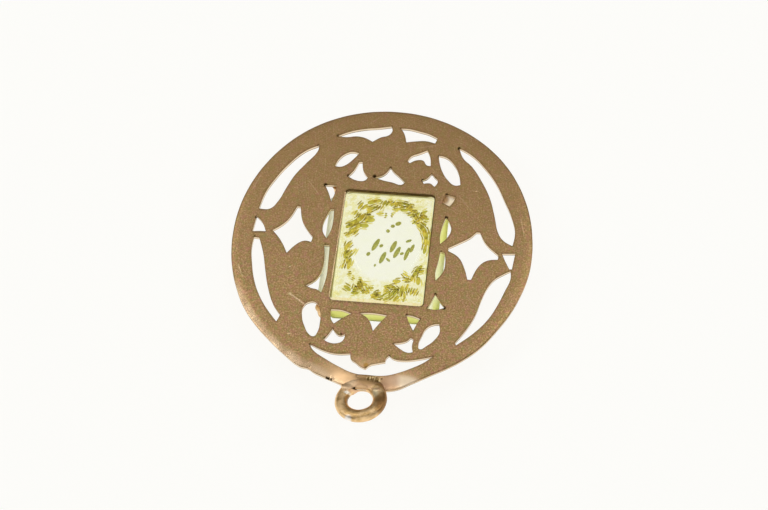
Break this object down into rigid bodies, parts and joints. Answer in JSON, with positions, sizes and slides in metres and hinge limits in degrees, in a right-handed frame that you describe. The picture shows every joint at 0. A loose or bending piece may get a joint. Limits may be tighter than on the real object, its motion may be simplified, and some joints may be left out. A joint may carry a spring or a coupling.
{
  "type": "openwork disc pendant",
  "caption": "Openwork gold disc pendant with a claw-set rectangular glass intaglio and a soldered bail ring, lying with its back up.",
  "frame": {"origin": "under the middle of the bounding box, at the height of the claw tips that the pendant lies on", "axes": "+Y runs from the bail ring across the disc, the longest way; +Z comes out of the disc's back, the thinnest way; +X is to the right with the ring towards the viewer"},
  "size_m": [0.03, 0.0344, 0.0047],
  "materials": {
    "sheet_gold": "worn satin gold sheet with fine scratches and warm patina",
    "wire_gold": "polished rose-gold wire",
    "solder_gold": "granular solder, partly polished",
    "pale_glass": "clear pale yellow-green glass with a gilded carving in its front"
  },
  "bodies": {
    "root": {"pierced_plate": "sheet_gold", "glass_stone": "pale_glass", "claw_upper_left": "wire_gold", "claw_upper_right": "wire_gold", "claw_lower_left": "wire_gold", "claw_lower_right": "wire_gold", "bail_ring": "wire_gold", "ring_solder": "solder_gold"}
  },
  "joints": []
}
